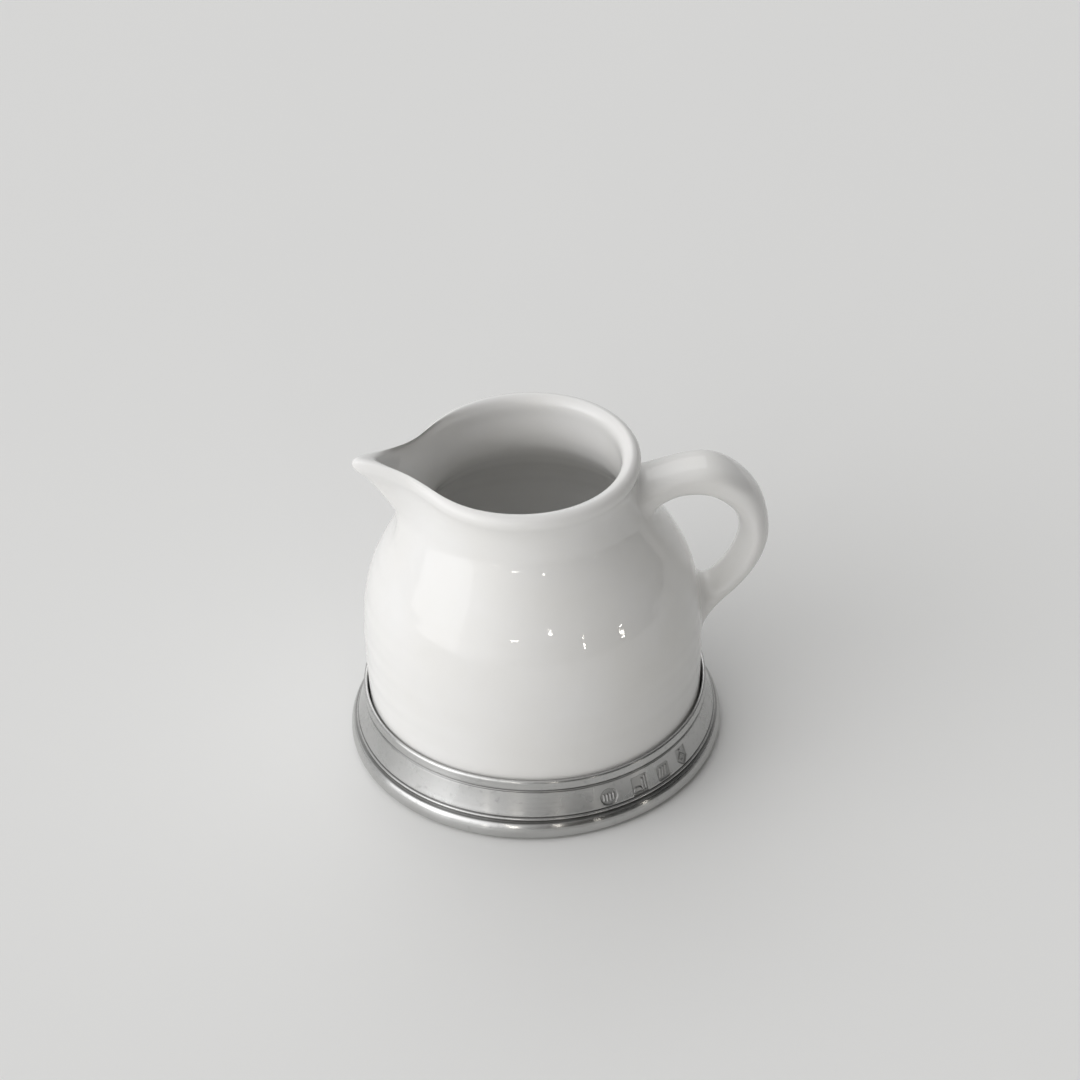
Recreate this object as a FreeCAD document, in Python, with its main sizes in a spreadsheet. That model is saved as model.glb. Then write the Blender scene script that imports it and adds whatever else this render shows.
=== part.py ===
import FreeCAD, Part
import math
import os
import Sketcher
from FreeCAD import Placement, Rotation, Vector

# Cream jug: a thrown porcelain pot with a pulled spout and a strap handle, bedded in a turned pewter ring.
#
# Millimetres. +Z is up and the origin is the centre of the foot ring on the table. The handle is on +X and
# the spout on -X. Six pieces:
#
#   jug_body          one wall from the foot up the belly, over the rolled lip and down to the inside floor
#   handle            a strap that leaves the neck under the lip and comes back to the belly
#   upper_slip_joint  the slip that sticks the handle to the neck
#   lower_slip_joint  the slip that sticks the handle to the belly
#   foot_ring         the pewter ring the pot stands in, with four shallow stamps
#   bedding_ring      the compound between the pot and the ring

doc = FreeCAD.newDocument("cream_jug")

# ---------------------------------------------------------------- driving dimensions

DIMENSIONS = [
    ("lip_radius", 23.65, "axis to the centre of the rolled lip"),
    ("lip_height", 75.8, "table to the centre of the rolled lip"),
    ("lip_roll", 2.15, "radius of the rolled lip"),
    ("neck_radius", 24.85, "outside, at the narrowest place under the lip"),
    ("belly_radius", 39.15, "outside, at the widest place"),
    ("belly_height", 30.0, "height of the widest place"),
    ("wall_thickness", 3.85, "at the belly"),
    ("seat_height", 2.2, "table to the underside of the pot"),
    ("floor_height", 7.6, "table to the inside floor"),
    ("spout_reach", 13.6, "how far the spout's tip is pulled out of the round"),
    ("spout_channel", 12.0, "how far the inside of the spout is pulled out"),
    ("spout_rise", 3.6, "how far the tip stands above the rim"),
    ("spout_twist", 1.0, "how much higher one side of the spout is left than the other"),
    ("foot_recess_radius", 31.0, "recess in the underside of the pot"),
    ("foot_recess_depth", 1.0, "depth of that recess"),
    ("strap_width", 12.6, "handle, across"),
    ("strap_thickness", 6.2, "handle, through"),
    ("slip_thickness", 0.9, "slip between the handle and the pot"),
    ("joint_gap", 0.03, "gap left where two pieces meet"),
    ("ring_radius", 43.5, "foot ring, outside, at the lower bead"),
    ("ring_height", 15.25, "foot ring, table to its top"),
    ("ring_bore", 39.15, "foot ring, inside wall"),
    ("bedding_height", 11.5, "table to the top of the bedding"),
    ("stamp_depth", 0.22, "how deep the stamps are struck"),
]

sheet = doc.addObject("Spreadsheet::Sheet", "Dimensions")
sheet.set("A1", "dimension")
sheet.set("B1", "millimetres")
sheet.set("C1", "meaning")
for row, (alias, value, meaning) in enumerate(DIMENSIONS, start=2):
    sheet.set(f"A{row}", alias)
    sheet.set(f"B{row}", str(value))
    sheet.set(f"C{row}", meaning)
    sheet.setAlias(f"B{row}", alias)
doc.recompute()


def size(alias):
    """A driving dimension as a plain number."""
    return float(sheet.get(alias))


# ---------------------------------------------------------------- the pot's wall

BELLY_R = size("belly_radius")
BELLY_Z = size("belly_height")
NECK_R = size("neck_radius")
LIP_R = size("lip_radius")
LIP_Z = size("lip_height")
ROLL = size("lip_roll")
SEAT_Z = size("seat_height")
FLOOR_Z = size("floor_height")
INSIDE_R = BELLY_R - size("wall_thickness")

# Each row is one ring of the wall: radius, height, and the shares of the spout's sharp outer pull, its broad
# inner pull and its rise that the ring takes.
OUTSIDE = [
    (35.0, SEAT_Z, 0, 0, 0),
    (36.9, SEAT_Z + 0.3, 0, 0, 0),
    (38.1, SEAT_Z + 1.3, 0, 0, 0),
    (38.55, SEAT_Z + 3.3, 0, 0, 0),
    (38.62, 8.5, 0, 0, 0),
    (38.68, 12.0, 0, 0, 0),
    (38.78, 15.5, 0, 0, 0),
    (BELLY_R - 0.15, 22.0, 0, 0, 0),
    (BELLY_R, BELLY_Z, 0, 0, 0),
    (BELLY_R - 0.4, BELLY_Z + 8.0, 0, 0, 0),
    (BELLY_R - 1.85, BELLY_Z + 15.0, 0, 0, 0),
    (BELLY_R - 4.45, BELLY_Z + 21.0, 0, 0, 0),
    (NECK_R + 6.3, 57.0, 0, 0.03, 0),
    (NECK_R + 3.1, 62.0, 0.04, 0.14, 0),
    (NECK_R + 1.0, LIP_Z - 9.8, 0.18, 0.20, 0.2),
    (NECK_R + 0.1, LIP_Z - 6.3, 0.46, 0.18, 0.5),
    (NECK_R, LIP_Z - 3.5, 0.73, 0.09, 0.8),
    (LIP_R + 1.68, LIP_Z - 1.5, 0.93, 0.02, 0.95),
]
LIP = [
    (LIP_R + ROLL, LIP_Z + 0.2, 1.0, 0, 1),
    (LIP_R + 1.45, LIP_Z + 1.7, 1.03, 0, 1),
    (LIP_R, LIP_Z + 2.25, 0.80, 0.25, 1),
    (LIP_R - 1.45, LIP_Z + 1.6, 0.14, 0.88, 1),
    (LIP_R - ROLL, LIP_Z + 0.2, 0, 1.0, 1),
]
INSIDE = [
    (LIP_R - 2.35, LIP_Z - 2.3, 0, 0.83, 0.9),
    (LIP_R - 2.65, LIP_Z - 5.8, 0, 0.60, 0.5),
    (LIP_R - 2.35, LIP_Z - 9.8, 0, 0.32, 0.2),
    (LIP_R - 0.65, 62.0, 0, 0.09, 0),
    (LIP_R + 2.65, 57.0, 0, 0, 0),
    (INSIDE_R - 5.3, 51.5, 0, 0, 0),
    (INSIDE_R - 2.1, 45.0, 0, 0, 0),
    (INSIDE_R - 0.4, 37.0, 0, 0, 0),
    (INSIDE_R, BELLY_Z - 1.0, 0, 0, 0),
    (INSIDE_R - 0.2, 20.0, 0, 0, 0),
    (INSIDE_R - 1.7, 12.5, 0, 0, 0),
    (INSIDE_R - 5.3, FLOOR_Z + 1.0, 0, 0, 0),
    (24.0, FLOOR_Z, 0, 0, 0),
]

RING_POINTS = 60
SPOUT_TIP_ROUND = 0.03


def spout_share(angle, sharpness, power):
    """How much of the spout's pull reaches this angle from the tip: 1 at the tip, fading to 0."""
    turned = math.sqrt(angle ** 2 + SPOUT_TIP_ROUND ** 2) - SPOUT_TIP_ROUND
    return math.exp(-((sharpness * turned) ** power))


def ring_curve(radius, height, outer, inner, rise):
    """One closed ring of the wall, its points closest together round the spout's tip."""
    points = []
    steps = []
    for k in range(RING_POINTS + 1):
        step = 2.0 * k / RING_POINTS - 1.0
        angle = math.pi * (0.4 * step + 0.6 * step ** 3)
        sharp = spout_share(angle, 6.0, 1.15)
        broad = spout_share(angle, 2.6, 1.0)
        reach = radius + size("spout_reach") * outer * sharp + size("spout_channel") * inner * broad
        lifted = size("spout_rise") * spout_share(angle, 4.0, 1.3)
        twisted = size("spout_twist") * math.tanh(angle / 0.12) * spout_share(angle, 3.0, 1.5)
        z = height + rise * (lifted + twisted)
        points.append(Vector(-reach * math.cos(angle), -reach * math.sin(angle), z))
        steps.append(step)
    curve = Part.BSplineCurve()
    curve.interpolate(Points=points[:-1], PeriodicFlag=True, Parameters=steps)
    return curve


def skin_through(rows):
    """One smooth surface through a ring for each row.

    All the rings have the same knots, so a curve run through their matching poles gives the poles across.
    """
    rings = [ring_curve(*row) for row in rows]
    across = [0.0]
    for before, after in zip(rows, rows[1:]):
        across.append(across[-1] + math.hypot(after[0] - before[0], after[1] - before[1]) ** 0.7)
    poles = []
    for column in zip(*[ring.getPoles() for ring in rings]):
        curve = Part.BSplineCurve()
        curve.interpolate(Points=list(column), Parameters=across)
        poles.append(curve.getPoles())
    surface = Part.BSplineSurface()
    surface.buildFromPolesMultsKnots(
        poles,
        rings[0].getMultiplicities(), curve.getMultiplicities(),
        rings[0].getKnots(), curve.getKnots(),
        True, False,
        rings[0].Degree, curve.Degree,
    )
    return surface


def vessel_solid():
    """The wall's surface closed by the flat underside and the flat inside floor."""
    wall = skin_through(OUTSIDE + LIP + INSIDE).toShape()
    heights = (SEAT_Z, FLOOR_Z)
    ends = []
    for edge in wall.Edges:
        box = edge.BoundBox
        if box.ZLength < 0.001 and any(abs(box.ZMin - height) < 0.01 for height in heights):
            ends.append(Part.Face(Part.Wire([edge])))
    skin = Part.Compound([wall] + ends)
    skin.sewShape()
    solid = Part.makeSolid(skin.Shells[0])
    solid.fix(0.001, 0.001, 0.001)
    return solid


vessel = doc.addObject("Part::Feature", "vessel")
vessel.Shape = vessel_solid()
vessel.Placement = Placement()

foot_recess = doc.addObject("Part::Cone", "foot_recess")
foot_recess.setExpression("Radius1", "Dimensions.foot_recess_radius")
foot_recess.setExpression("Radius2", "Dimensions.foot_recess_radius - 1.5")
foot_recess.setExpression("Height", "Dimensions.foot_recess_depth + 0.5")
foot_recess.setExpression("Placement.Base.z", "Dimensions.seat_height - 0.5")

jug_body = doc.addObject("Part::Cut", "jug_body")
jug_body.Label = "jug_body"
jug_body.Base = vessel
jug_body.Tool = foot_recess
doc.recompute()


# ---------------------------------------------------------------- helpers for the bodies


def origin_plane(body, role):
    """One of a body's own origin planes."""
    for feature in body.Origin.OriginFeatures:
        if feature.Role == role:
            return feature
    raise ValueError(role)


def new_body(name):
    """A PartDesign body whose label names its file."""
    body = doc.addObject("PartDesign::Body", name)
    body.Label = name
    return body


def new_sketch(body, name, role, offset=None):
    """A sketch on one of the body's origin planes."""
    sketch = body.newObject("Sketcher::SketchObject", name)
    sketch.AttachmentSupport = [(origin_plane(body, role), "")]
    sketch.MapMode = "FlatFace"
    if offset is not None:
        sketch.AttachmentOffset = offset
    return sketch


def bind(sketch, constraint, name, expression):
    """Add a dimension to a sketch and drive it from the sheet."""
    index = sketch.addConstraint(constraint)
    sketch.renameConstraint(index, name)
    sketch.setExpression(f"Constraints.{name}", expression)


def skin_curve(out, low=0.0, high=1000.0):
    """The pot's outside on the handle's side, moved out by a distance, between two heights."""
    points = [Vector(radius + out, height, 0) for radius, height, *_ in OUTSIDE if low <= height <= high]
    curve = Part.BSplineCurve()
    curve.interpolate(Points=points)
    return curve


def line(start, end):
    """A straight edge between two (radius, height) points."""
    return Part.LineSegment(Vector(start[0], start[1], 0), Vector(end[0], end[1], 0))


def bow(start, middle, end):
    """An arc through three (radius, height) points."""
    return Part.Arc(*[Vector(x, y, 0) for x, y in (start, middle, end)])


def bound_outline(sketch, corners, bows):
    """Draw a closed outline and tie every corner of it down.

    A corner is (alias, offset, alias, offset): its radius and its height, each an offset from a driving
    dimension, or from zero where there is no alias. Bows gives the middle of each curved edge, by the
    number of the corner it starts from.
    """
    places = []
    for across, radius, up, height in corners:
        places.append((radius + (size(across) if across else 0.0), height + (size(up) if up else 0.0)))
    count = len(places)
    starts = []
    ends = []
    for k, start in enumerate(places):
        end = places[(k + 1) % count]
        sketch.addGeometry(bow(start, bows[k], end) if k in bows else line(start, end), False)
        runs_on = sketch.getPoint(k, 1).isEqual(Vector(start[0], start[1], 0), 1e-6)
        starts.append(1 if runs_on else 2)
        ends.append(2 if runs_on else 1)
    for k in range(count):
        following = (k + 1) % count
        sketch.addConstraint(Sketcher.Constraint("Coincident", k, ends[k], following, starts[following]))
    for k, (across, radius, up, height) in enumerate(corners):
        ties = (("DistanceX", across, radius, places[k][0]), ("DistanceY", up, height, places[k][1]))
        for kind, alias, offset, value in ties:
            tie = Sketcher.Constraint(kind, -1, 1, k, starts[k], value)
            if alias:
                bind(sketch, tie, f"corner_{k}_{alias}", f"Dimensions.{alias} + {offset}")
            else:
                sketch.addConstraint(tie)
    for k in bows:
        sketch.addConstraint(Sketcher.Constraint("Radius", k, sketch.Geometry[k].Radius))


def turn(body, sketch, name, kind, angle=360.0):
    """Revolve a sketch about its vertical axis, as a Revolution or a Groove."""
    feature = body.newObject(f"PartDesign::{kind}", name)
    feature.Profile = sketch
    feature.ReferenceAxis = (sketch, ["V_Axis"])
    feature.Angle = angle
    if angle < 360.0:
        feature.Midplane = True
    sketch.Visibility = False
    return feature


# ---------------------------------------------------------------- handle

# Along the strap's centre line: reach from the axis, height, the way the strap runs (degrees above level)
# and the width and thickness there as shares of the strap's own.
STRAP = [
    (22.0, 63.6, 19, 1.30, 1.40),
    (27.0, 65.3, 18, 1.16, 1.13),
    (32.0, 66.8, 13, 1.06, 0.96),
    (37.5, 67.7, 6, 1.03, 0.96),
    (42.4, 67.5, -17, 1.02, 1.00),
    (46.2, 65.1, -42, 1.00, 1.03),
    (49.8, 60.7, -61, 0.97, 1.11),
    (51.6, 54.8, -83, 0.90, 1.13),
    (51.4, 49.0, -101, 0.84, 1.10),
    (49.3, 43.4, -119, 0.79, 1.03),
    (45.9, 38.6, -130, 0.76, 0.98),
    (41.6, 34.2, -138, 0.83, 1.05),
    (36.0, 29.6, -142, 0.98, 1.29),
]


def add_strap(body):
    """Loft the strap through an ellipse at each station."""
    sections = []
    for number, (reach, height, slope, wide, thick) in enumerate(STRAP, start=1):
        offset = Placement(Vector(0, height, reach), Rotation(Vector(1, 0, 0), -slope))
        sketch = new_sketch(body, f"strap_section_{number:02d}", "YZ_Plane", offset)
        half_width = 0.5 * size("strap_width") * wide
        half_thickness = 0.5 * size("strap_thickness") * thick
        sketch.addGeometry(Part.Ellipse(Vector(0, 0, 0), half_width, half_thickness), False)
        sketch.exposeInternalGeometry(0)
        sketch.addConstraint(Sketcher.Constraint("Coincident", 0, 3, -1, 1))
        sketch.addConstraint(Sketcher.Constraint("Horizontal", 1))
        across = Sketcher.Constraint("DistanceX", 1, 1, 1, 2, 2 * half_width)
        through = Sketcher.Constraint("DistanceY", 2, 1, 2, 2, 2 * half_thickness)
        bind(sketch, across, "across", f"Dimensions.strap_width * {wide}")
        bind(sketch, through, "through", f"Dimensions.strap_thickness * {thick}")
        sections.append(sketch)
    loft = body.newObject("PartDesign::AdditiveLoft", "strap_loft")
    loft.Profile = sections[0]
    loft.Sections = sections[1:]
    loft.Ruled = False
    for sketch in sections:
        sketch.Visibility = False
    return loft


strap_form = new_body("strap_form")
add_strap(strap_form)

SLIP = size("slip_thickness")
GAP = size("joint_gap")

# Everything nearer the axis than the slip's outer face, so that the strap can be cut off there.
clearance_form = new_body("clearance_form")
clearance = new_sketch(clearance_form, "clearance_outline", "XZ_Plane")
skin = skin_curve(SLIP + GAP, low=8.0)
foot = skin.value(skin.FirstParameter)
top = skin.value(skin.LastParameter)
clearance.addGeometry(skin, False)
clearance.addGeometry(line((top.x, top.y), (0, top.y)), False)
clearance.addGeometry(line((0, top.y), (0, foot.y)), False)
clearance.addGeometry(line((0, foot.y), (foot.x, foot.y)), False)
turn(clearance_form, clearance, "clearance_turned", "Revolution")

handle = doc.addObject("Part::Cut", "handle")
handle.Label = "handle"
handle.Base = strap_form
handle.Tool = clearance_form


def slip_joint(name, low, high):
    """The part of the strap's end that lies in a thin sleeve over the pot's skin."""
    sleeve = new_body(f"{name}_sleeve")
    sketch = new_sketch(sleeve, f"{name}_outline", "XZ_Plane")
    inner = skin_curve(GAP, low, high)
    outer = skin_curve(SLIP, low, high)
    inner_foot = inner.value(inner.FirstParameter)
    inner_top = inner.value(inner.LastParameter)
    outer_foot = outer.value(outer.FirstParameter)
    outer_top = outer.value(outer.LastParameter)
    sketch.addGeometry(inner, False)
    sketch.addGeometry(Part.LineSegment(inner_top, outer_top), False)
    sketch.addGeometry(outer, False)
    sketch.addGeometry(Part.LineSegment(outer_foot, inner_foot), False)
    turn(sleeve, sketch, f"{name}_turned", "Revolution", 80.0)
    joint = doc.addObject("Part::Common", name)
    joint.Label = name
    joint.Base = strap_form
    joint.Tool = sleeve
    return joint


upper_slip_joint = slip_joint("upper_slip_joint", 50.0, 75.0)
lower_slip_joint = slip_joint("lower_slip_joint", 11.0, 50.0)
doc.recompute()


# ---------------------------------------------------------------- foot ring

BORE_R = size("ring_bore")
LEDGE_Z = SEAT_Z - GAP
LEDGE_R = 35.5
TABLE_R = 38.4
BEAD_R = size("ring_radius")

# From the inner edge of the flat it stands on: over the bead, up the band, over the top and down the inside.
RING_CORNERS = [
    (None, TABLE_R, None, 0.0),
    ("ring_radius", -2.2, None, 0.0),
    ("ring_radius", 0.0, None, 2.15),
    ("ring_radius", -1.0, None, 4.45),
    ("ring_radius", -1.55, None, 4.6),
    ("ring_radius", -1.55, None, 5.0),
    ("ring_radius", -1.36, None, 5.5),
    ("ring_radius", -3.65, None, 12.1),
    ("ring_radius", -3.9, None, 12.3),
    ("ring_radius", -3.6, None, 12.5),
    ("ring_radius", -3.7, "ring_height", -0.15),
    ("ring_bore", 0.3, "ring_height", 0.0),
    ("ring_bore", 0.0, "ring_height", -0.25),
    ("ring_bore", 0.0, None, LEDGE_Z),
    (None, LEDGE_R, None, LEDGE_Z),
    (None, LEDGE_R, None, 1.0),
    (None, TABLE_R, None, 1.0),
]
RING_BOWS = {
    1: (BEAD_R - 0.62, 0.65),
    2: (BEAD_R - 0.25, 3.4),
    6: (BEAD_R - 2.75, 8.6),
    9: (BEAD_R - 3.2, 13.8),
}

foot_ring = new_body("foot_ring")
ring_outline = new_sketch(foot_ring, "ring_outline", "XZ_Plane")
bound_outline(ring_outline, RING_CORNERS, RING_BOWS)
turn(foot_ring, ring_outline, "ring_turned", "Revolution")
doc.recompute()

# Four stamps struck in a row round the band: the sinking of each, with a plain raised figure left in it.
STAMP_LIFT = 0.6
BAND_LEAN = 19.0


def circle(radius, x=0.0, y=0.0):
    """A circle as the edges of a loop."""
    return [Part.Circle(Vector(x, y, 0), Vector(0, 0, 1), radius)]


def polygon(corners):
    """Straight edges through the corners and back to the first."""
    return [line(corners[k], corners[(k + 1) % len(corners)]) for k in range(len(corners))]


def box(width, height, clip=0.0):
    """A rectangle about the centre, its corners clipped off if clip is given."""
    x, y = width / 2.0, height / 2.0
    if clip == 0.0:
        return polygon([(-x, -y), (x, -y), (x, y), (-x, y)])
    return polygon([
        (-x + clip, -y), (x - clip, -y), (x, -y + clip), (x, y - clip),
        (x - clip, y), (-x + clip, y), (-x, y - clip), (-x, -y + clip),
    ])


SHIELD = polygon([(-1.7, 2.4), (1.7, 2.4), (1.7, -0.6), (0.0, -2.4), (-1.7, -0.6)])
LOZENGE = polygon([(-1.1, 0.0), (0.0, -1.5), (1.1, 0.0), (0.0, 1.5)])

STAMPS = [
    ("round_stamp", -73.5, [circle(2.1), circle(1.1)]),
    ("square_stamp", -62.0, [box(4.2, 4.8), LOZENGE]),
    ("clipped_stamp", -52.0, [box(3.2, 4.0, 0.8), circle(0.8)]),
    ("shield_stamp", -42.5, [SHIELD, box(1.6, 0.8)]),
]
STAMP_R = 40.93
STAMP_Z = 8.1

for name, azimuth, loops in STAMPS:
    lean = math.radians(BAND_LEAN)
    out = STAMP_R + STAMP_LIFT * math.cos(lean)
    around = math.radians(azimuth)
    place = Vector(out * math.cos(around), STAMP_Z + STAMP_LIFT * math.sin(lean), -out * math.sin(around))
    facing = Rotation(Vector(0, 1, 0), azimuth + 90.0)
    tilted = Rotation(Vector(1, 0, 0), -BAND_LEAN)
    sketch = new_sketch(foot_ring, f"{name}_outline", "XZ_Plane", Placement(place, facing.multiply(tilted)))
    for loop in loops:
        for edge in loop:
            sketch.addGeometry(edge, False)
    pocket = foot_ring.newObject("PartDesign::Pocket", name)
    pocket.Profile = sketch
    pocket.setExpression("Length", f"Dimensions.stamp_depth + {STAMP_LIFT}")
    sketch.Visibility = False
    before = foot_ring.Shape.Volume
    doc.recompute()
    if not foot_ring.Shape.Volume < before:
        raise RuntimeError(f"{name} cuts nothing")


# ---------------------------------------------------------------- bedding

bedding_ring = new_body("bedding_ring")
bedding_outline = new_sketch(bedding_ring, "bedding_outline", "XZ_Plane")
bound_outline(bedding_outline, [
    (None, 37.05, "seat_height", 0.0),
    ("ring_bore", -GAP, "seat_height", 0.0),
    ("ring_bore", -GAP, "bedding_height", 0.0),
    (None, 38.76, "bedding_height", 0.0),
    (None, 38.68, None, 8.0),
    (None, 38.66, None, 5.6),
    (None, 38.28, None, 3.5),
], {})
turn(bedding_ring, bedding_outline, "bedding_turned", "Revolution")
doc.recompute()


# ---------------------------------------------------------------- check and write

SUB_PARTS = [jug_body, handle, upper_slip_joint, lower_slip_joint, foot_ring, bedding_ring]

for item in doc.Objects:
    if "Invalid" in item.State or "Error" in item.State:
        raise RuntimeError(f"{item.Name} failed: {item.State}")
for item in SUB_PARTS:
    if item.Shape.isNull() or not item.Shape.isValid() or len(item.Shape.Solids) != 1:
        raise RuntimeError(f"{item.Label} is not one valid solid")

os.makedirs("parts", exist_ok=True)
for item in SUB_PARTS:
    item.Shape.exportStep(f"parts/{item.Label}.step")
    extent = item.Shape.BoundBox
    print(
        f"{item.Label}: {item.Shape.Volume:.1f} mm3,"
        f" x {extent.XMin:.2f} to {extent.XMax:.2f},"
        f" y {extent.YMin:.2f} to {extent.YMax:.2f},"
        f" z {extent.ZMin:.2f} to {extent.ZMax:.2f}"
    )
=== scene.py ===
import math

import bmesh
import bpy
import numpy as np
from mathutils import Matrix, Vector


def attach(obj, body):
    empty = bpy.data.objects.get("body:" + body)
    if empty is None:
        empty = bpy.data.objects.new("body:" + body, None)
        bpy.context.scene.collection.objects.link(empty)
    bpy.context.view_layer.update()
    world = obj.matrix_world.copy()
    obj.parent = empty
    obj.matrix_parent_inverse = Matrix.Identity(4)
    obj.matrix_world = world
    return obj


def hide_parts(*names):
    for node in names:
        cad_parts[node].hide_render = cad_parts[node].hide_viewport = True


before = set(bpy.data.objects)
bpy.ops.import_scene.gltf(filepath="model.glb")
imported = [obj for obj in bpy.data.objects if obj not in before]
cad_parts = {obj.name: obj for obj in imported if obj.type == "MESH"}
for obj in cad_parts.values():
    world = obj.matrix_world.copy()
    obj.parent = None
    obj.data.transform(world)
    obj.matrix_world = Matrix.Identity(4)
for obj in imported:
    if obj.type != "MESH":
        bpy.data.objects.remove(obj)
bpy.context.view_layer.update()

MM = 0.001


# ------------------------------------------------------------------ curves and meshes


def spline(rows, count, power=0.7):
    """A natural cubic curve through rows of numbers, sampled evenly in its own parameter."""
    rows = np.array(rows, float)
    gaps = np.linalg.norm(np.diff(rows[:, :2], axis=0), axis=1) ** power
    knots = np.concatenate([[0.0], np.cumsum(gaps)])
    size = len(rows)
    system = np.eye(size)
    right = np.zeros_like(rows)
    for k in range(1, size - 1):
        before, after = gaps[k - 1], gaps[k]
        system[k, k - 1:k + 2] = before, 2.0 * (before + after), after
        right[k] = 6.0 * ((rows[k + 1] - rows[k]) / after - (rows[k] - rows[k - 1]) / before)
    bends = np.linalg.solve(system, right)
    at = np.linspace(0.0, knots[-1], count)
    k = np.clip(np.searchsorted(knots, at, side="right") - 1, 0, size - 2)
    gap = gaps[k][:, None]
    a = (knots[k + 1][:, None] - at[:, None]) / gap
    b = 1.0 - a
    curve = a * rows[k] + b * rows[k + 1]
    return curve + ((a ** 3 - a) * bends[k] + (b ** 3 - b) * bends[k + 1]) * gap ** 2 / 6.0


def smooth_step(x):
    """0 below 0, 1 above 1, smooth between."""
    x = np.clip(x, 0.0, 1.0)
    return x * x * (3.0 - 2.0 * x)


def waves(seed, around, along, count):
    """A gentle, repeatable unevenness between about -1 and 1, periodic in the angle."""
    rng = np.random.default_rng(seed)
    total = 0.0
    for _ in range(count):
        turns = rng.integers(1, 5)
        pitch = rng.uniform(0.05, 0.22)
        across_wave = np.sin(turns * around + rng.uniform(0, 6.28))
        along_wave = np.cos(pitch * along + rng.uniform(0, 6.28))
        total = total + across_wave * along_wave
    return total / count


def grid_mesh(name, points, wrap_rows=False, capped=False):
    """A smooth mesh object from a grid of points in millimetres: rows of closed rings.

    The rows also close on themselves where they wrap, or else both ends may be capped.
    """
    rows, columns = points.shape[:2]
    index = np.arange(rows * columns).reshape(rows, columns)
    below = index if wrap_rows else index[:-1]
    above = np.roll(index, -1, axis=0) if wrap_rows else index[1:]
    faces = np.stack([below, np.roll(below, -1, 1), np.roll(above, -1, 1), above], -1)
    faces = [tuple(face) for face in faces.reshape(-1, 4).tolist()]
    if capped:
        faces.append(tuple(index[0][::-1].tolist()))
        faces.append(tuple(index[-1].tolist()))
    mesh = bpy.data.meshes.new(name)
    mesh.from_pydata((points.reshape(-1, 3) * MM).tolist(), [], faces)
    mesh.polygons.foreach_set("use_smooth", [True] * len(mesh.polygons))
    mesh.update()
    piece = bpy.data.objects.new(name, mesh)
    bpy.context.scene.collection.objects.link(piece)
    return piece


def face_outwards(piece):
    """Turn all faces the same way, outwards."""
    work = bmesh.new()
    work.from_mesh(piece.data)
    bmesh.ops.recalc_face_normals(work, faces=work.faces)
    work.to_mesh(piece.data)
    work.free()


# ------------------------------------------------------------------ the pot

LIP_R, LIP_Z, ROLL = 23.65, 75.8, 2.15
NECK_R = 24.85
BELLY_R, BELLY_Z = 39.15, 30.0
INSIDE_R = 35.3
SEAT_Z, FLOOR_Z = 2.2, 7.6

# the spout: how far its sharp outer pull and its broad inner pull reach, how much its tip rises,
# how much higher one side of the tip stands than the middle, and how round the tip is, in radians
SPOUT_REACH, SPOUT_CHANNEL, SPOUT_RISE = 13.6, 12.0, 3.6
SPOUT_TWIST = 1.0
SPOUT_TIP_ROUND = 0.03

# The pot's section, from the foot up the outside, over the lip and down the inside to the floor.
# Each row is radius, height, and the shares of the spout's sharp pull, its broad pull and its rise.
UNDERSIDE = [
    (10.0, 3.2, 0, 0, 0),
    (29.5, 3.2, 0, 0, 0),
    (30.6, 2.45, 0, 0, 0),
    (31.6, SEAT_Z, 0, 0, 0),
    (33.5, SEAT_Z, 0, 0, 0),
]
OUTSIDE = [
    (35.0, SEAT_Z, 0, 0, 0),
    (36.9, SEAT_Z + 0.3, 0, 0, 0),
    (38.1, SEAT_Z + 1.3, 0, 0, 0),
    (38.55, SEAT_Z + 3.3, 0, 0, 0),
    (38.62, 8.5, 0, 0, 0),
    (38.68, 12.0, 0, 0, 0),
    (38.78, 15.5, 0, 0, 0),
    (BELLY_R - 0.15, 22.0, 0, 0, 0),
    (BELLY_R, BELLY_Z, 0, 0, 0),
    (BELLY_R - 0.4, BELLY_Z + 8.0, 0, 0, 0),
    (BELLY_R - 1.85, BELLY_Z + 15.0, 0, 0, 0),
    (BELLY_R - 4.45, BELLY_Z + 21.0, 0, 0, 0),
    (NECK_R + 6.3, 57.0, 0, 0.03, 0),
    (NECK_R + 3.1, 62.0, 0.04, 0.14, 0),
    (NECK_R + 1.0, LIP_Z - 9.8, 0.18, 0.20, 0.2),
    (NECK_R + 0.1, LIP_Z - 6.3, 0.46, 0.18, 0.5),
    (NECK_R, LIP_Z - 3.5, 0.73, 0.09, 0.8),
    (LIP_R + 1.68, LIP_Z - 1.5, 0.93, 0.02, 0.95),
]
LIP = [
    (LIP_R + ROLL, LIP_Z + 0.2, 1.0, 0, 1),
    (LIP_R + 1.45, LIP_Z + 1.7, 1.03, 0, 1),
    (LIP_R, LIP_Z + 2.25, 0.80, 0.25, 1),
    (LIP_R - 1.45, LIP_Z + 1.6, 0.14, 0.88, 1),
    (LIP_R - ROLL, LIP_Z + 0.2, 0, 1.0, 1),
]
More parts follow.
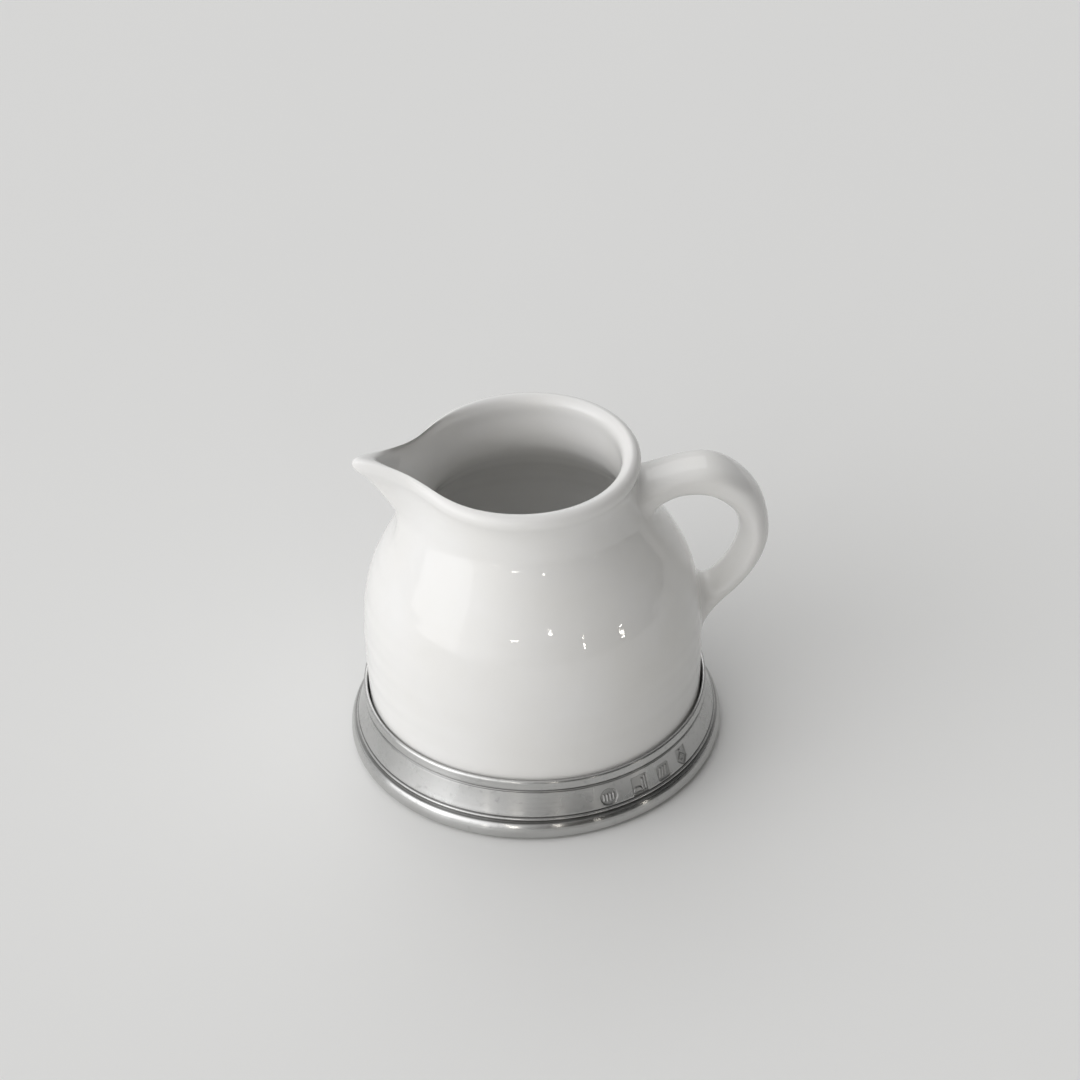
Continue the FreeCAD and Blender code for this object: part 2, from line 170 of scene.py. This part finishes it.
INSIDE = [
    (LIP_R - 2.35, LIP_Z - 2.3, 0, 0.83, 0.9),
    (LIP_R - 2.65, LIP_Z - 5.8, 0, 0.60, 0.5),
    (LIP_R - 2.35, LIP_Z - 9.8, 0, 0.32, 0.2),
    (LIP_R - 0.65, 62.0, 0, 0.09, 0),
    (LIP_R + 2.65, 57.0, 0, 0, 0),
    (INSIDE_R - 5.3, 51.5, 0, 0, 0),
    (INSIDE_R - 2.1, 45.0, 0, 0, 0),
    (INSIDE_R - 0.4, 37.0, 0, 0, 0),
    (INSIDE_R, BELLY_Z - 1.0, 0, 0, 0),
    (INSIDE_R - 0.2, 20.0, 0, 0, 0),
    (INSIDE_R - 1.7, 12.5, 0, 0, 0),
    (INSIDE_R - 5.3, FLOOR_Z + 1.0, 0, 0, 0),
    (24.0, FLOOR_Z, 0, 0, 0),
]
FLOOR = [(18.0, FLOOR_Z - 0.05, 0, 0, 0), (9.0, FLOOR_Z - 0.1, 0, 0, 0)]


def spout_share(angle, sharpness, power):
    """How much of the spout's pull reaches this angle from the tip."""
    turned = np.sqrt(angle ** 2 + SPOUT_TIP_ROUND ** 2) - SPOUT_TIP_ROUND
    return np.exp(-((sharpness * turned) ** power))


def throwing_marks(azimuth, height):
    """The potter's finger rings and the pot's slight lack of roundness, in millimetres."""
    spiral = height + 0.35 * np.cos(azimuth - 0.7)
    broad_rings = 0.028 * np.sin(2.0 * math.pi * spiral / 7.3)
    fine_rings = 0.012 * np.sin(2.0 * math.pi * spiral / 3.9 + 1.0)
    fade = smooth_step((height - 14.0) / 6.0) * smooth_step((76.0 - height) / 8.0)
    out_of_round = 0.08 * waves(3, azimuth, height, 6)
    return (broad_rings + fine_rings + out_of_round) * fade


def pot_points(curve, azimuths):
    """The pot's wall: one row of points for each sample of the profile."""
    radius, height, outer, inner, rise = [curve[:, k][:, None] for k in range(5)]
    from_tip = (azimuths[None, :] % (2.0 * math.pi)) - math.pi
    sharp = spout_share(from_tip, 6.0, 1.15)
    broad = spout_share(from_tip, 2.6, 1.0)
    reach = radius + SPOUT_REACH * outer * sharp + SPOUT_CHANNEL * inner * broad
    lifted = SPOUT_RISE * spout_share(from_tip, 4.0, 1.3)
    twisted = SPOUT_TWIST * np.tanh(from_tip / 0.12) * spout_share(from_tip, 3.0, 1.5)
    z = height + (lifted + twisted) * rise
    reach = reach + throwing_marks(azimuths[None, :], height)
    rim_wobble = 0.12 * np.sin(3.0 * azimuths[None, :] + 0.4)
    z = z + smooth_step((height - 68.0) / 8.0) * rim_wobble
    return np.stack([reach * np.cos(azimuths), reach * np.sin(azimuths), z], -1)


def pot_azimuths(count):
    """Angles round the pot from the handle's side, closest together at the spout's tip."""
    step = np.linspace(-1.0, 1.0, count, endpoint=False)
    return math.pi + math.pi * (0.4 * step + 0.6 * step ** 3)


pot_section = np.vstack([UNDERSIDE, spline(OUTSIDE + LIP + INSIDE, 420), FLOOR])
pot = grid_mesh("glazed_pot", pot_points(pot_section, pot_azimuths(480)), capped=True)
face_outwards(pot)

outside_curve = spline(OUTSIDE, 600)


def skin_radius(points):
    """The pot's outside radius, away from the spout, at the angle and height of each point."""
    around = np.arctan2(points[..., 1], points[..., 0])
    plain = np.interp(points[..., 2], outside_curve[:, 1], outside_curve[:, 0])
    return plain + throwing_marks(around, points[..., 2])


# ------------------------------------------------------------------ handle

# The strap's sections from the neck round to the belly.
# Each row is reach, height, half width, half thickness, and how square the section is (2 is an ellipse).
STRAP = [
    (22.0, 63.6, 8.4, 4.4, 2.3),
    (27.0, 65.3, 7.3, 3.5, 2.6),
    (32.0, 67.1, 6.3, 2.8, 3.2),
    (37.5, 67.85, 6.2, 3.0, 3.6),
    (42.2, 67.15, 6.4, 3.5, 3.2),
    (45.9, 64.85, 6.5, 3.75, 2.7),
    (49.6, 60.5, 6.2, 3.85, 2.2),
    (51.6, 54.8, 5.7, 3.5, 1.85),
    (51.75, 49.0, 5.3, 3.45, 1.8),
    (49.75, 43.4, 5.1, 3.3, 1.85),
    (46.3, 38.5, 5.0, 3.1, 1.9),
    (41.7, 34.3, 5.3, 3.1, 2.0),
    (36.0, 29.6, 6.2, 4.0, 2.1),
]


def strap_rings(count, around):
    """Rounded-strap sections along the handle's centre line, and the line's direction at each."""
    line = spline(STRAP, count)
    along = np.gradient(line[:, :2], axis=0)
    along /= np.linalg.norm(along, axis=1)[:, None]
    angle = np.linspace(0.0, 2.0 * math.pi, around, endpoint=False)
    power = 2.0 / line[:, 4][:, None]
    across = np.sign(np.cos(angle)) * np.abs(np.cos(angle)) ** power
    through = np.sign(np.sin(angle)) * np.abs(np.sin(angle)) ** power
    y = line[:, 2][:, None] * across
    up = line[:, 3][:, None] * through
    x = line[:, 0][:, None] - along[:, 1][:, None] * up
    z = line[:, 1][:, None] + along[:, 0][:, None] * up
    return np.stack([x, y, z], -1), along


def on_skin(points):
    """Points moved level onto the pot's outside."""
    around = np.arctan2(points[..., 1], points[..., 0])
    radius = skin_radius(points)
    return np.stack([radius * np.cos(around), radius * np.sin(around), points[..., 2]], -1)


def outside_skin(points):
    """How far points stand out from the pot's skin, level."""
    return np.hypot(points[..., 0], points[..., 1]) - skin_radius(points)


def root_blend(ring, toward, flare, drop, lift, steps=22):
    """Rings that carry a strap's end down onto the pot with a fillet, the nearest to the strap first.

    The fillet is as wide as flare at the strap's sides, and wider by drop below it and by lift above it.
    Its last two rings lie inside the clay.
    """
    toward = np.array([toward[0], 0.0, toward[1]])
    travel = np.linspace(0.0, 30.0, 900)
    path = ring[None, :, :] + travel[:, None, None] * toward
    hit = np.argmax(outside_skin(path) < 0.0, axis=0)
    reach = travel[hit]
    landing = ring + reach[:, None] * toward
    spread = landing - landing.mean(axis=0)
    spread /= np.linalg.norm(spread, axis=1)[:, None]
    width = flare + drop * np.clip(-spread[:, 2], 0.0, 1.0) + lift * np.clip(spread[:, 2], 0.0, 1.0)
    foot = on_skin(landing + spread * width[:, None])
    beyond = on_skin(foot + spread * 0.5)
    leave = beyond - foot
    leave /= np.linalg.norm(leave, axis=1)[:, None]
    pull = (reach + width)[:, None] * 0.8
    blend = []
    for t in np.linspace(0.0, 1.0, steps + 1)[1:]:
        h00, h10 = 2 * t ** 3 - 3 * t ** 2 + 1, t ** 3 - 2 * t ** 2 + t
        h01, h11 = 3 * t ** 2 - 2 * t ** 3, t ** 3 - t ** 2
        blend.append(h00 * ring + h10 * toward * pull + h01 * foot + h11 * leave * pull)
    just_inside = np.array([0.9985, 0.9985, 1.0])
    well_inside = np.array([0.98, 0.98, 1.0])
    return np.array(blend + [beyond * just_inside, on_skin(foot + spread * 0.3) * well_inside])


# the strap stands free of the pot from the first ring that clears it by this much to the last
FREE_OF_POT = 3.2
rings, directions = strap_rings(160, 64)
free = np.where(np.array([outside_skin(r).min() for r in rings]) > FREE_OF_POT)[0]
first, final = free[0], free[-1]
upper = root_blend(rings[first], -directions[first], 3.0, 3.2, 0.4)
lower = root_blend(rings[final], directions[final], 3.4, 0.3, 2.0)
strap = np.concatenate([upper[::-1], rings[first:final + 1], lower])
handle = grid_mesh("strap_handle", strap, capped=True)
face_outwards(handle)


# ------------------------------------------------------------------ foot ring

# The turned ring's outline, anticlockwise from the edge of its underside. Each point is radius, height.
FOOT = [(38.4, 0.0), (41.2, 0.0), (41.9, 0.06), (42.5, 0.27), (43.05, 0.75), (43.38, 1.4), (43.5, 2.2)]
BEAD = [(43.44, 3.0), (43.2, 3.8), (42.9, 4.35), (42.62, 4.66), (42.42, 4.74)]
QUIRK = [(42.2, 4.68), (41.95, 4.72), (41.82, 4.9), (41.84, 5.12), (41.95, 5.22)]
FILLET = [
    (42.1, 5.36), (42.13, 5.55), (42.02, 5.76), (41.82, 5.86), (41.66, 5.9), (41.62, 6.02), (41.7, 6.16),
]
BAND = [(41.62, 6.5), (41.3, 7.4), (40.95, 8.5), (40.62, 9.6), (40.32, 10.7), (40.08, 11.7)]
LINES = [(40.02, 11.92), (39.92, 12.02), (39.92, 12.12), (40.06, 12.2), (40.12, 12.32), (40.06, 12.44)]
CAPPING = [(39.9, 12.52), (39.88, 12.62), (40.04, 12.72), (40.16, 12.95), (40.12, 13.5), (40.04, 14.0)]
TOP_ROLL = [(40.06, 14.4), (40.0, 14.75), (39.8, 15.03), (39.52, 15.16), (39.28, 15.06), (39.16, 14.8)]
SEAT = [(39.15, 14.3), (39.15, 2.3), (39.0, 2.17), (35.7, 2.17), (35.5, 2.0), (35.5, 1.2), (35.7, 1.0)]
RECESS = [(38.0, 1.0), (38.35, 0.8), (38.4, 0.3)]
RING_PROFILE = FOOT + BEAD + QUIRK + FILLET + BAND + LINES + CAPPING + TOP_ROLL + SEAT + RECESS

# heights and half widths of the turned grooves, where old polish stays dark and painted shade darkens
# the metal's colour
GROOVES = [(4.87, 0.26), (5.95, 0.14), (12.07, 0.13), (12.57, 0.13)]

# the band's radius where the stamps are, and its lean in degrees
BAND_R, BAND_LEAN = 40.9, 17.5
STAMP_Z, STAMP_DEPTH = 8.4, 0.27


def fine_profile(corners, pitch, close_pitch):
    """The ring's outline with points added along its straights, close together on the band."""
    corners = np.array(corners)
    points = []
    for start, end in zip(corners, np.roll(corners, -1, axis=0)):
        low, high = min(start[1], end[1]), max(start[1], end[1])
        on_band = min(start[0], end[0]) > 39.95 and low > 5.5 and high < 12.0
        count = max(1, int(math.ceil(np.linalg.norm(end - start) / (close_pitch if on_band else pitch))))
        points.extend(start + (end - start) * k / count for k in range(count))
    return np.array(points)


def ring_azimuths():
    """Angles round the ring, closest together where the stamps are."""
    fine = np.radians(np.arange(-77.5, -38.5, 0.14))
    coarse = np.radians(np.arange(-38.5, 282.5, 0.75))
    return np.concatenate([fine, coarse])


def within(distance, edge=0.14):
    """1 inside a shape, 0 outside, given the distance from its edge, which is soft."""
    return 1.0 - smooth_step((distance + edge) / (2.0 * edge))


def box_distance(x, y, half_x, half_y, corner=0.0):
    """Distance from a rectangle's edge, negative inside, its corners rounded."""
    out_x, out_y = np.abs(x) - half_x + corner, np.abs(y) - half_y + corner
    outside = np.hypot(np.maximum(out_x, 0.0), np.maximum(out_y, 0.0))
    return outside + np.minimum(np.maximum(out_x, out_y), 0.0) - corner


def bar_distance(x, y, start, end, half_width):
    """Distance from the edge of a straight round-ended bar."""
    run = np.array(end, float) - np.array(start, float)
    share = np.clip(((x - start[0]) * run[0] + (y - start[1]) * run[1]) / (run @ run), 0.0, 1.0)
    return np.hypot(x - start[0] - share * run[0], y - start[1] - share * run[1]) - half_width


def struck(field, *figures):
    """How deep a stamp is struck, 0 to 1: a sunk field with raised figures left in it."""
    raised = 0.0
    for figure in figures:
        raised = np.maximum(raised, within(figure, 0.1))
    return within(field) * (1.0 - 0.92 * raised)


def round_stamp(x, y):
    """A round field with four upright bars."""
    places = (-1.2, -0.4, 0.4, 1.2)
    flutes = [bar_distance(x, y, (at, -1.2 + 0.3 * abs(at)), (at, 0.5), 0.17) for at in places]
    return struck(np.hypot(x, y) - 2.1, *flutes)


def square_stamp(x, y):
    """A square field with a mound and two posts on a line."""
    mound = np.maximum(np.hypot(x + 0.7, y + 1.5) - 1.15, -y - 1.5)
    thick_post = bar_distance(x, y, (0.85, -1.5), (0.85, 1.1), 0.26)
    thin_post = bar_distance(x, y, (1.6, -1.5), (1.6, 1.7), 0.2)
    ground = bar_distance(x, y, (-1.6, -1.9), (1.7, -1.9), 0.16)
    return struck(box_distance(x, y, 2.1, 2.4, 0.2), mound, ground, thick_post, thin_post)


def clipped_stamp(x, y):
    """A field with clipped corners and three leaning bars."""
    field = np.maximum(box_distance(x, y, 1.85, 2.0), (np.abs(x) + np.abs(y) - 3.4) * 0.7071)
    bars = [bar_distance(x, y, (at - 0.25, -1.2), (at + 0.25, 1.0), 0.19) for at in (-0.9, 0.0, 0.9)]
    return struck(field, *bars)


def shield_stamp(x, y):
    """A pointed shield with a chevron between two dots."""
    point = (np.abs(x) * 1.8 - (y + 2.4) * 1.7) / math.hypot(1.8, 1.7)
    field = np.maximum(box_distance(x, y, 1.7, 2.4), point)
    chevron = bar_distance(np.abs(x), y, (1.0, -0.4), (0.0, 0.7), 0.2)
    dots = np.minimum(np.hypot(x, y + 1.1) - 0.32, np.hypot(x, y - 1.6) - 0.3)
    return struck(field, chevron, dots)


# each stamp and its place round the ring in degrees
STAMPS = [(round_stamp, -73.5), (square_stamp, -62.0), (clipped_stamp, -52.0), (shield_stamp, -42.5)]


def stamp_marks(azimuth, height):
    """How deep each point of the band is struck, 0 to 1."""
    total = np.zeros_like(azimuth)
    y = (height - STAMP_Z) / math.cos(math.radians(BAND_LEAN))
    for stamp, at in STAMPS:
        x = (azimuth - math.radians(at)) * BAND_R
        near = (np.abs(x) < 3.4) & (np.abs(y) < 3.2)
        total[near] = stamp(x[near], y[near])
    return total


def stamp_walls(marks):
    """Where a stamp's walls stand, between sunk and not, 0 to 1."""
    return np.clip(4.0 * marks * (1.0 - marks), 0.0, 1.0)


def profile_lean(profile):
    """The outline's own outward direction (radius and height shares) at each point."""
    along = np.roll(profile, -1, axis=0) - np.roll(profile, 1, axis=0)
    along /= np.linalg.norm(along, axis=1)[:, None]
    return np.stack([along[:, 1], -along[:, 0]], -1)


def ring_surface(profile, azimuths):
    """The ring's points, how dark with old polish, tarnish and painted shade each one is, and how
    brushed.
    """
    around, height = np.meshgrid(azimuths, profile[:, 1])
    radius = np.repeat(profile[:, 0][:, None], len(azimuths), axis=1)
    outside = (radius > 39.5) & (height > 2.0)
    tilt = profile_lean(profile)
    marks = np.where(outside, stamp_marks(around, height), 0.0)
    depth = STAMP_DEPTH * marks
    turned = (around + math.pi) % (2.0 * math.pi) - math.pi
    # the ring sits a little lower and flatter towards one side of the front
    low_side = smooth_step((turned + 2.04) / 0.96) * (1.0 - smooth_step((turned + 0.5) / 0.75))
    knocks = 0.03 * waves(11, around, height * 0.5, 7) + 0.018 * waves(12, 5.0 * around, height, 7)
    out = radius - depth * tilt[:, 0][:, None] + np.where(outside, knocks, 0.0)
    out = out - 0.3 * low_side * smooth_step((radius - 41.9) / 1.0)
    z = height - depth * tilt[:, 1][:, None]
    z = z * (1.0 - 0.052 * low_side)
    # painted shade: the turned grooves and the stamps' walls and floors are darkened in colour, together
    # with old polish in the grooves
    patina_and_shade = np.zeros_like(height)
    for groove_z, half in GROOVES:
        patina_and_shade = np.maximum(patina_and_shade, np.exp(-((height - groove_z) / half) ** 2) * outside)
    patina_and_shade = np.maximum(patina_and_shade, 0.2 * marks + 0.6 * stamp_walls(marks))
    brushed = smooth_step((height - 5.6) / 0.5) * (1.0 - 0.45 * smooth_step((height - 12.3) / 0.4))
    return np.stack([out * np.cos(around), out * np.sin(around), z], -1), patina_and_shade, brushed


ring_line = fine_profile(RING_PROFILE, 0.3, 0.13)
ring_points, ring_patina_and_shade, ring_brushed = ring_surface(ring_line, ring_azimuths())
ring = grid_mesh("pewter_ring", ring_points, wrap_rows=True)
# the painted groove and stamp shade, and the brushed share, are stored on the ring's points
for layer_name, values in (("patina_and_shade", ring_patina_and_shade), ("brushed", ring_brushed)):
    layer = ring.data.attributes.new(layer_name, "FLOAT", "POINT")
    layer.data.foreach_set("value", values.ravel().astype(np.float32))
face_outwards(ring)


# ------------------------------------------------------------------ materials


def new_material(name):
    """A node material, its tree and its shader."""
    material = bpy.data.materials.new(name)
    material.use_nodes = True
    tree = material.node_tree
    return material, tree, tree.nodes["Principled BSDF"]


def set_input(tree, socket, value):
    """Link an input to another node's output, or set it to a number or a colour."""
    if isinstance(value, bpy.types.NodeSocket):
        tree.links.new(value, socket)
    else:
        socket.default_value = (*value, 1.0) if isinstance(value, tuple) else value


def math_node(tree, operation, *values):
    """Output of one math node; each of its inputs is a socket or a number."""
    node = tree.nodes.new("ShaderNodeMath")
    node.operation = operation
    for socket, value in zip(node.inputs, values):
        set_input(tree, socket, value)
    return node.outputs[0]


def object_place(tree):
    """Where a point lies on the object, in metres."""
    return tree.nodes.new("ShaderNodeTexCoord").outputs["Object"]


def mesh_value(tree, name):
    """A value stored on the mesh's points."""
    node = tree.nodes.new("ShaderNodeAttribute")
    node.attribute_name = name
    return node.outputs["Fac"]


def noise_node(tree, place, scale, detail):
    """Soft noise about 0.5, scale lumps to the metre."""
    node = tree.nodes.new("ShaderNodeTexNoise")
    node.inputs["Scale"].default_value = scale
    node.inputs["Detail"].default_value = detail
    tree.links.new(place, node.inputs["Vector"])
    return node.outputs["Fac"]


def ramp_node(tree, value, stops):
    """A colour ramp between two (position, colour) stops."""
    node = tree.nodes.new("ShaderNodeValToRGB")
    for element, (position, colour) in zip(node.color_ramp.elements, stops):
        element.position = position
        element.color = (*colour, 1.0)
    tree.links.new(value, node.inputs["Fac"])
    return node.outputs["Color"]


def mix_node(tree, blend, share, first, second):
    """One colour mixed with another; each input is a socket or a value."""
    node = tree.nodes.new("ShaderNodeMix")
    node.data_type = "RGBA"
    node.blend_type = blend
    # a colour mix has its two colours in sockets 6 and 7, and its result in output 2
    set_input(tree, node.inputs["Factor"], share)
    set_input(tree, node.inputs[6], first)
    set_input(tree, node.inputs[7], second)
    return node.outputs[2]


def bump_node(tree, height, strength, distance, below=None):
    """A bumped normal, on top of another where one is given."""
    node = tree.nodes.new("ShaderNodeBump")
    node.inputs["Strength"].default_value = strength
    node.inputs["Distance"].default_value = distance
    tree.links.new(height, node.inputs["Height"])
    if below is not None:
        tree.links.new(below, node.inputs["Normal"])
    return node.outputs["Normal"]


def glaze_material(name):
    """White clay under a clear, faintly dimpled glaze."""
    material, tree, shader = new_material(name)
    place = object_place(tree)
    cloud = noise_node(tree, place, 45.0, 4.0)
    cream, white = (0.80025, 0.79323, 0.7714), (0.825, 0.822, 0.812)
    set_input(tree, shader.inputs["Base Color"], ramp_node(tree, cloud, [(0.35, cream), (0.7, white)]))
    dimples = bump_node(tree, noise_node(tree, place, 190.0, 3.0), 0.16, 0.0002)
    set_input(tree, shader.inputs["Normal"], dimples)
    set_input(tree, shader.inputs["Coat Normal"], dimples)
    shader.inputs["Roughness"].default_value = 0.5
    shader.inputs["Specular IOR Level"].default_value = 0.0
    shader.inputs["Coat Weight"].default_value = 1.0
    shader.inputs["Coat Roughness"].default_value = 0.04
    return material


def pewter_colour(tree, place, cloud, patina_and_shade):
    """Soft clouds of tarnish over bright metal, with old polish and painted shade near-black in the
    grooves and stamps.
    """
    tarnish = ramp_node(tree, cloud, [(0.3, (0.50, 0.50, 0.493)), (0.7, (0.62, 0.62, 0.613))])
    specks = noise_node(tree, place, 900.0, 3.0)
    flecks = ramp_node(tree, specks, [(0.28, (0.72, 0.72, 0.72)), (0.42, (1.0, 1.0, 1.0))])
    speckled = mix_node(tree, "MULTIPLY", 0.5, tarnish, flecks)
    patches = ramp_node(tree, cloud, [(0.3, (1, 1, 1)), (0.7, (0.8, 0.8, 0.8))])
    # painted shade: the grooves and stamps are coloured near-black, partly as old polish and partly as
    # shade
    patchy_patina_and_shade = math_node(tree, "MULTIPLY", patina_and_shade, patches)
    return mix_node(tree, "MIX", patchy_patina_and_shade, speckled, (0.06, 0.058, 0.054))


def pewter_roughness(tree, cloud, patina_and_shade):
    """Polished bead and edges, a duller brushed band, and duller where the grooves and stamps are
    darkened.
    """
    polish = math_node(tree, "MULTIPLY_ADD", mesh_value(tree, "brushed"), 0.06, 0.15)
    clouded = math_node(tree, "MULTIPLY_ADD", cloud, 0.12, polish)
    return math_node(tree, "MULTIPLY_ADD", patina_and_shade, 0.25, clouded)


def pewter_relief(tree, place):
    """Fine rings left by turning, and the knocks of use."""
    parts = tree.nodes.new("ShaderNodeSeparateXYZ")
    set_input(tree, parts.inputs["Vector"], place)
    x_squared = math_node(tree, "POWER", parts.outputs["X"], 2.0)
    y_squared = math_node(tree, "POWER", parts.outputs["Y"], 2.0)
    from_axis = math_node(tree, "SQRT", math_node(tree, "ADD", x_squared, y_squared))
    ring_place = tree.nodes.new("ShaderNodeCombineXYZ")
    set_input(tree, ring_place.inputs["X"], from_axis)
    set_input(tree, ring_place.inputs["Z"], parts.outputs["Z"])
    turning = bump_node(tree, noise_node(tree, ring_place.outputs["Vector"], 2600.0, 2.0), 0.25, 0.00003)
    return bump_node(tree, noise_node(tree, place, 420.0, 2.0), 0.3, 0.00005, turning)


def pewter_material(name):
    """Turned pewter, brushed round its band, with old polish and painted shade dark in its grooves and
    stamps.
    """
    material, tree, shader = new_material(name)
    place = object_place(tree)
    cloud = noise_node(tree, place, 55.0, 6.0)
    # the painted shade of the grooves and stamps, read from the ring's points
    patina_and_shade = mesh_value(tree, "patina_and_shade")
    set_input(tree, shader.inputs["Base Color"], pewter_colour(tree, place, cloud, patina_and_shade))
    set_input(tree, shader.inputs["Roughness"], pewter_roughness(tree, cloud, patina_and_shade))
    set_input(tree, shader.inputs["Normal"], pewter_relief(tree, place))
    shader.inputs["Metallic"].default_value = 1.0
    shader.inputs["Anisotropic"].default_value = 0.95
    shader.inputs["Anisotropic Rotation"].default_value = 0.25
    return material


def bedding_material(name):
    """The dark compound between pot and ring."""
    material, tree, shader = new_material(name)
    grain = noise_node(tree, object_place(tree), 900.0, 2.0)
    colour = ramp_node(tree, grain, [(0.0, (0.02, 0.02, 0.018)), (1.0, (0.06, 0.058, 0.05))])
    set_input(tree, shader.inputs["Base Color"], colour)
    shader.inputs["Roughness"].default_value = 0.8
    return material


glaze = glaze_material("white_glaze")
pot.data.materials.append(glaze)
handle.data.materials.append(glaze)
ring.data.materials.append(pewter_material("turned_pewter"))
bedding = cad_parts["bedding_ring"]
bedding.data.materials.clear()
bedding.data.materials.append(bedding_material("bedding_compound"))

for piece in (pot, handle, ring):
    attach(piece, "root")
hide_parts("jug_body")
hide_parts("handle", "upper_slip_joint", "lower_slip_joint")
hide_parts("foot_ring")


# ------------------------------------------------------------------ stage, lights and camera

FLOOR_HALF = 3.0
floor_mesh = bpy.data.meshes.new("floor")
floor_corners = [(FLOOR_HALF * x, FLOOR_HALF * y, 0.0) for x, y in ((-1, -1), (1, -1), (1, 1), (-1, 1))]
floor_mesh.from_pydata(floor_corners, [], [(0, 1, 2, 3)])
floor = bpy.data.objects.new("floor", floor_mesh)
bpy.context.scene.collection.objects.link(floor)
floor_look, _, floor_shader = new_material("floor_paper")
floor_shader.inputs["Base Color"].default_value = (0.82, 0.82, 0.81, 1.0)
floor_shader.inputs["Roughness"].default_value = 0.6
floor_mesh.materials.append(floor_look)

# the camera and the lights are all turned a little round the jug
TURN = Matrix.Rotation(math.radians(-6.6), 4, "Z")


def area_light(name, place, target, width, depth, watts, colour=(1.0, 1.0, 1.0)):
    """A rectangular lamp facing a point, both given in the camera's own turn."""
    lamp = bpy.data.lights.new(name, "AREA")
    lamp.shape = "RECTANGLE"
    lamp.size = width
    lamp.size_y = depth
    lamp.energy = watts
    lamp.color = colour
    light = bpy.data.objects.new(name, lamp)
    spot = TURN @ Vector(place)
    facing_away = (spot - TURN @ Vector(target)).to_track_quat("Z", "Y")
    light.matrix_world = Matrix.Translation(spot) @ facing_away.to_matrix().to_4x4()
    bpy.context.scene.collection.objects.link(light)


area_light("window", (-2.1, -0.66, 0.75), (0, 0, 0.03), 1.8, 1.3, 6.5)
area_light("back_window", (-0.22, 1.7, 1.45), (0, 0, 0.06), 1.2, 0.5, 1.6)

# small warm lamps that glint in the glaze: degrees across from the camera's side, degrees up,
# width, depth, power
LAMP_DISTANCE = 2.2
LAMP_COLOUR = (1.0, 0.95, 0.87)
LAMPS = [
    (-13, 17, 0.20, 0.05, 0.8),
    (12, 22, 0.08, 0.06, 0.45),
    (61, 8, 0.10, 0.03, 0.35),
    (34, 13, 0.05, 0.04, 0.25),
    (-30, 5, 0.07, 0.03, 0.25),
    (11, 31, 0.05, 0.04, 0.25),
    (-18, 30, 0.12, 0.03, 0.3),
]
for number, (across, up, width, depth, watts) in enumerate(LAMPS):
    across, up = math.radians(across), math.radians(up)
    level = LAMP_DISTANCE * math.cos(up)
    spot = (level * math.sin(across), -level * math.cos(across), LAMP_DISTANCE * math.sin(up))
    area_light(f"lamp_{number}", spot, (0, 0, 0.03), width, depth, watts, LAMP_COLOUR)


# how sharply a glow keeps to its direction
GLOW_FOCUS = 4.0


def studio_world(glows):
    """A dim studio whose light swells softly towards each (direction, strength, colour)."""
    world = bpy.data.worlds.new("studio")
    world.use_nodes = True
    tree = world.node_tree
    sight = tree.nodes.new("ShaderNodeTexCoord")
    total = None
    for direction, strength, colour in glows:
        share = tree.nodes.new("ShaderNodeVectorMath")
        share.operation = "DOT_PRODUCT"
        share.inputs[1].default_value = TURN @ Vector(direction).normalized()
        tree.links.new(sight.outputs["Generated"], share.inputs[0])
        clear = math_node(tree, "MAXIMUM", share.outputs["Value"], 0.0)
        glow = tree.nodes.new("ShaderNodeVectorMath")
        glow.operation = "SCALE"
        glow.inputs[0].default_value = [strength * part for part in colour]
        tree.links.new(math_node(tree, "POWER", clear, GLOW_FOCUS), glow.inputs["Scale"])
        if total is None:
            total = glow.outputs[0]
        else:
            both = tree.nodes.new("ShaderNodeVectorMath")
            tree.links.new(total, both.inputs[0])
            tree.links.new(glow.outputs[0], both.inputs[1])
            total = both.outputs[0]
    tree.links.new(total, tree.nodes["Background"].inputs["Color"])
    bpy.context.scene.world = world


studio_world([
    ((-0.80, -0.58, 0.4), 2.08, (1.0, 1.0, 1.01)),
    ((-0.6, 0.7, 0.5), 0.72, (1.0, 1.0, 1.0)),
    ((0.0, 0.0, 1.0), 0.54, (1.0, 1.0, 1.0)),
    ((-0.1, -0.9, 0.6), 0.08, (1.0, 0.92, 0.80)),
    ((0.1, 0.9, 0.5), 0.66, (1.0, 1.0, 1.0)),
])

# the camera stands a metre from the origin, a hair to the right, and is held with a slight lean
ELEVATION = math.radians(39.17)
PITCH = math.radians(36.71)
LEAN = math.radians(-2.03)
eye = bpy.data.cameras.new("eye")
eye.sensor_width = 36.0
eye.lens = 140.9333
camera = bpy.data.objects.new("eye", eye)
bpy.context.scene.collection.objects.link(camera)
stand = Matrix.Translation((0.00233, -math.cos(ELEVATION), math.sin(ELEVATION)))
aim = Matrix.Rotation(math.pi / 2.0 - PITCH, 4, "X") @ Matrix.Rotation(LEAN, 4, "Z")
camera.matrix_world = TURN @ stand @ aim
bpy.context.scene.camera = camera
bpy.context.scene.view_settings.view_transform = "Standard"
